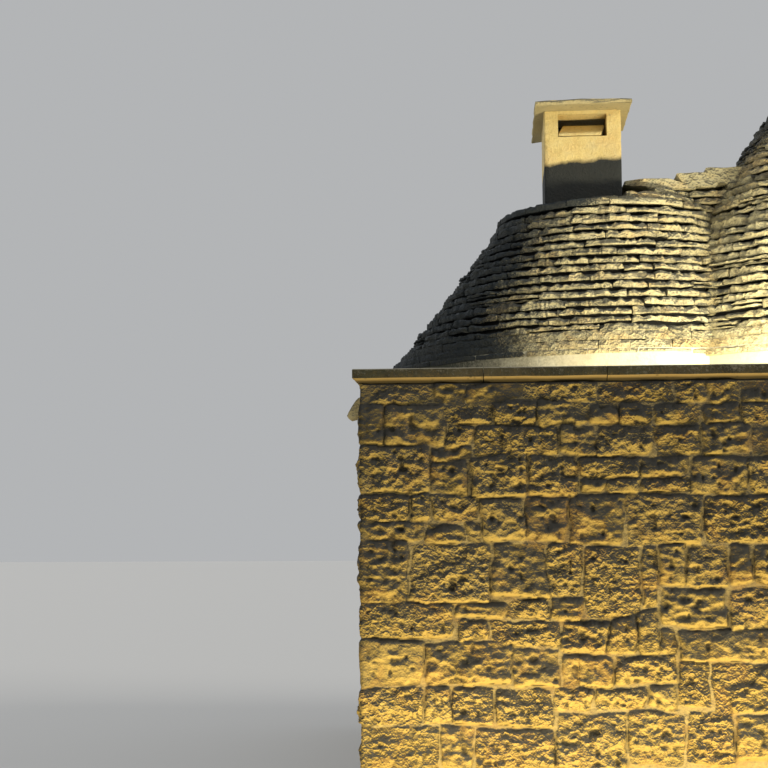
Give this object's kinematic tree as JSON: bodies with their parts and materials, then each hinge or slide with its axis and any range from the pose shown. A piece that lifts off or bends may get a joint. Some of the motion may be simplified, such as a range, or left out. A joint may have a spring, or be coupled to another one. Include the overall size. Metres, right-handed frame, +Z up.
{
  "type": "trullo house",
  "caption": "Dry-stone trullo house: rough limestone walls, bevelled cornice, pointed main roof of thin slabs, a cut-off small roof with a slotted chimney, and a doorway into a domed room.",
  "frame": {"origin": "on the ground, at the centre of the bottom of the whole house's box", "axes": "+Z up; -Y is the front, with the doorway; +X runs along the front from the chimney's end to the main roof's end"},
  "size_m": [5.755, 4.5, 5.675],
  "materials": {
    "rubble_stone": "rough split limestone with pale lime joints",
    "inner_stone": "limewashed corbelled limestone",
    "dressed_stone": "dressed limestone",
    "floor_stone": "worn limestone paving slabs",
    "cornice_stone": "sawn limestone slabs, weathered grey",
    "lime_band": "smooth lime mortar",
    "roof_slab": "thin grey limestone slabs laid dry, lichen darkened",
    "lime_plaster": "smooth lime plaster, weathered"
  },
  "bodies": {
    "root": {"front_wall_left": "rubble_stone", "front_wall_right": "rubble_stone", "front_wall_over_door": "rubble_stone", "back_wall": "rubble_stone", "left_wall": "rubble_stone", "right_wall": "rubble_stone", "alcove_front_block": "rubble_stone", "alcove_back_block": "rubble_stone", "arch_pier_front": "inner_stone", "arch_pier_back": "inner_stone", "hearth_arch": "inner_stone", "main_dome": "inner_stone", "smoke_hood": "inner_stone", "door_jamb_left": "dressed_stone", "door_jamb_right": "dressed_stone", "door_lintel": "dressed_stone", "door_sill": "dressed_stone", "dome_capstone": "dressed_stone", "flue_slab": "dressed_stone", "pinnacle": "dressed_stone", "rain_spout": "dressed_stone", "room_floor": "floor_stone", "hearth_slab": "floor_stone", "cornice_front": "cornice_stone", "cornice_back": "cornice_stone", "cornice_left": "cornice_stone", "cornice_right": "cornice_stone", "roof_bed_main": "cornice_stone", "roof_bed_alcove": "cornice_stone", "main_roof_band": "lime_band", "small_roof_band": "lime_band", "main_roof_lower": "roof_slab", "main_roof_upper": "roof_slab", "main_roof_tip": "roof_slab", "small_roof": "roof_slab", "small_roof_top": "roof_slab", "saddle_courses": "roof_slab", "saddle_ridge_slabs": "roof_slab", "chimney_stack": "lime_plaster", "chimney_head": "lime_plaster", "chimney_cap": "lime_plaster"}
  },
  "joints": []
}
